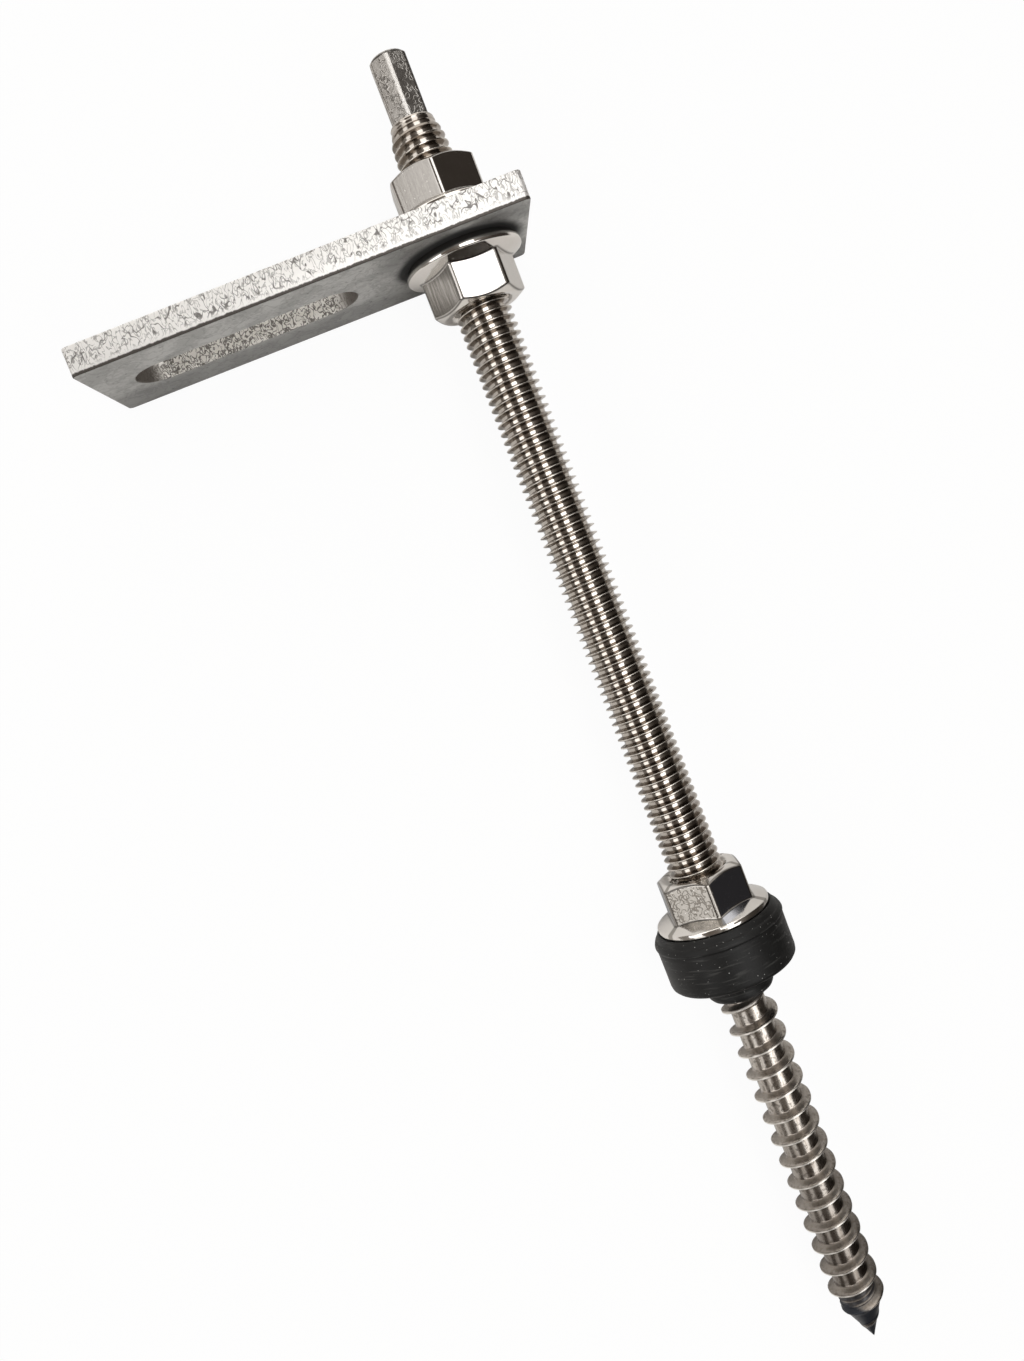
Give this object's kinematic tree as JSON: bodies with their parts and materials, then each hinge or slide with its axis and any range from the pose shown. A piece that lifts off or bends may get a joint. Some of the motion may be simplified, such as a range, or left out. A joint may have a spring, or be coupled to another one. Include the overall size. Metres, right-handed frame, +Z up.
{
  "type": "solar hanger bolt",
  "caption": "Stainless double-ended roof screw with a slotted adapter plate clamped near its drive end and a rubber sealing disc above the wood thread, lying at rest.",
  "frame": {"origin": "on the ground under the middle of the lying part's box", "axes": "+X along the bolt towards its point, +Y towards the plate's short end, +Z up"},
  "size_m": [0.25, 0.08, 0.0301],
  "materials": {
    "bolt_steel": "bright stainless steel with rolled threads",
    "nut_steel": "polished stainless steel",
    "plate_steel": "matt mill finish with rough cut edges",
    "seal_rubber": "matt black moulded rubber"
  },
  "bodies": {
    "root": {"hanger_bolt": "bolt_steel", "top_flange_nut": "nut_steel", "adapter_plate": "plate_steel", "under_plate_flange_nut": "nut_steel", "seal_flange_nut": "nut_steel", "rubber_seal": "seal_rubber"}
  },
  "joints": []
}
